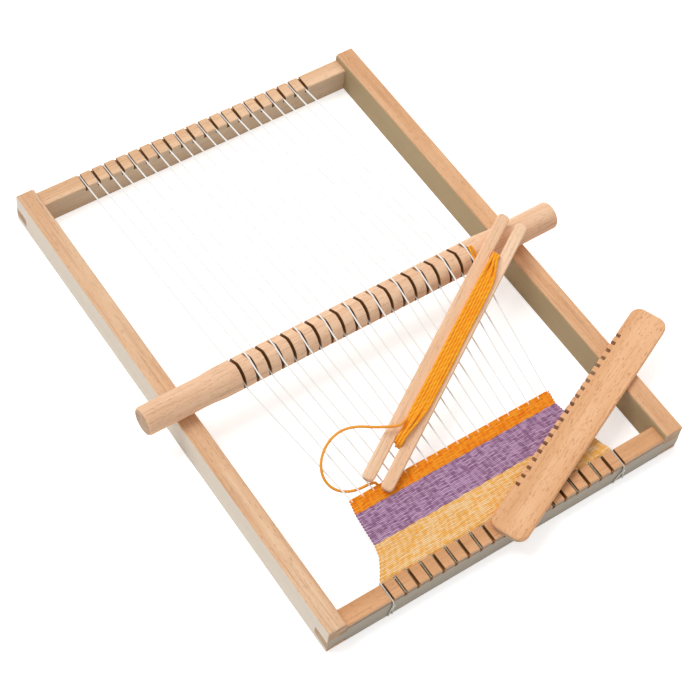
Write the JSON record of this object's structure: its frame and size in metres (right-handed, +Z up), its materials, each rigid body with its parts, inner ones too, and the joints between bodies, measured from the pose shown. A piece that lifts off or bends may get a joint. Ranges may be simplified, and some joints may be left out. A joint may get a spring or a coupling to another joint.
{
  "type": "table frame loom",
  "caption": "Small table frame loom: slotted wooden frame, turning notched heddle bar, stretched warp with a striped band, wound stick shuttle and weaving comb.",
  "frame": {"origin": "middle of the front beam's underside, on the surface the loom lies on", "axes": "+X to the right along the beams, +Y away from the weaver along the rails, +Z up"},
  "size_m": [0.3539, 0.411, 0.057],
  "materials": {
    "beech_frame": "sanded beech, oiled, matt",
    "beech_bar": "turned beech, sanded, matt",
    "beech_shuttle": "pale plain beech, sanded",
    "beech_comb": "flecked beech, sanded",
    "cotton_warp": "undyed twisted cotton thread",
    "orange_yarn": "soft plied yarn",
    "orange_weft": "weft-faced plain weave",
    "purple_weft": "weft-faced plain weave",
    "yellow_weft": "weft-faced plain weave, mottled"
  },
  "bodies": {
    "frame": {"left_side_rail": "beech_frame", "right_side_rail": "beech_frame", "front_beam": "beech_frame", "back_beam": "beech_frame", "warp_back_turns": "cotton_warp", "warp_front_turns": "cotton_warp", "warp_end_left": "cotton_warp", "warp_end_right": "cotton_warp", "cloth_yellow_stripe": "yellow_weft", "cloth_purple_stripe": "purple_weft", "cloth_orange_stripe": "orange_weft"},
    "heddle_bar": {"heddle_bar": "beech_bar"},
    "warp_low_back": {"warp_low_back": "cotton_warp"},
    "warp_low_front": {"warp_low_front": "cotton_warp"},
    "warp_high_back": {"warp_high_back": "cotton_warp"},
    "warp_high_front": {"warp_high_front": "cotton_warp"},
    "shuttle": {"shuttle": "beech_shuttle", "shuttle_winding": "orange_yarn", "weft_tail": "orange_yarn", "yarn_end": "orange_yarn"},
    "comb": {"comb": "beech_comb"}
  },
  "joints": [
    {"name": "shed_turn", "type": "hinge", "parent": "frame", "child": "heddle_bar", "pos_m": [0.002, 0.17955, 0.0359], "axis": [-1, 0, 0], "range_deg": [0, 90]},
    {"name": "low_back_rise", "type": "hinge", "parent": "frame", "child": "warp_low_back", "pos_m": [0, 0.37975, 0.0185], "axis": [-1, 0, 0], "range_deg": [0, 3.13]},
    {"name": "low_front_rise", "type": "hinge", "parent": "frame", "child": "warp_low_front", "pos_m": [0, 0.06775, 0.0185], "axis": [1, 0, 0], "range_deg": [0, 5.43]},
    {"name": "high_back_drop", "type": "hinge", "parent": "frame", "child": "warp_high_back", "pos_m": [0, 0.37975, 0.0185], "axis": [1, 0, 0], "range_deg": [0, 3.13]},
    {"name": "high_front_drop", "type": "hinge", "parent": "frame", "child": "warp_high_front", "pos_m": [0, 0.06775, 0.0185], "axis": [-1, 0, 0], "range_deg": [0, 5.43]},
    {"name": "shuttle_lift", "type": "slide", "parent": "frame", "child": "shuttle", "axis": [0, 0, 1], "range_m": [0, 0.06], "deforming": ["weft_tail"]},
    {"name": "comb_lift", "type": "slide", "parent": "frame", "child": "comb", "axis": [0, 0, 1], "range_m": [0, 0.06]}
  ],
  "couplings": [
    {"joint": "low_back_rise", "follows": "shed_turn", "ratio": 0.034651},
    {"joint": "low_front_rise", "follows": "shed_turn", "ratio": 0.060215},
    {"joint": "high_back_drop", "follows": "shed_turn", "ratio": 0.034651},
    {"joint": "high_front_drop", "follows": "shed_turn", "ratio": 0.060215}
  ]
}
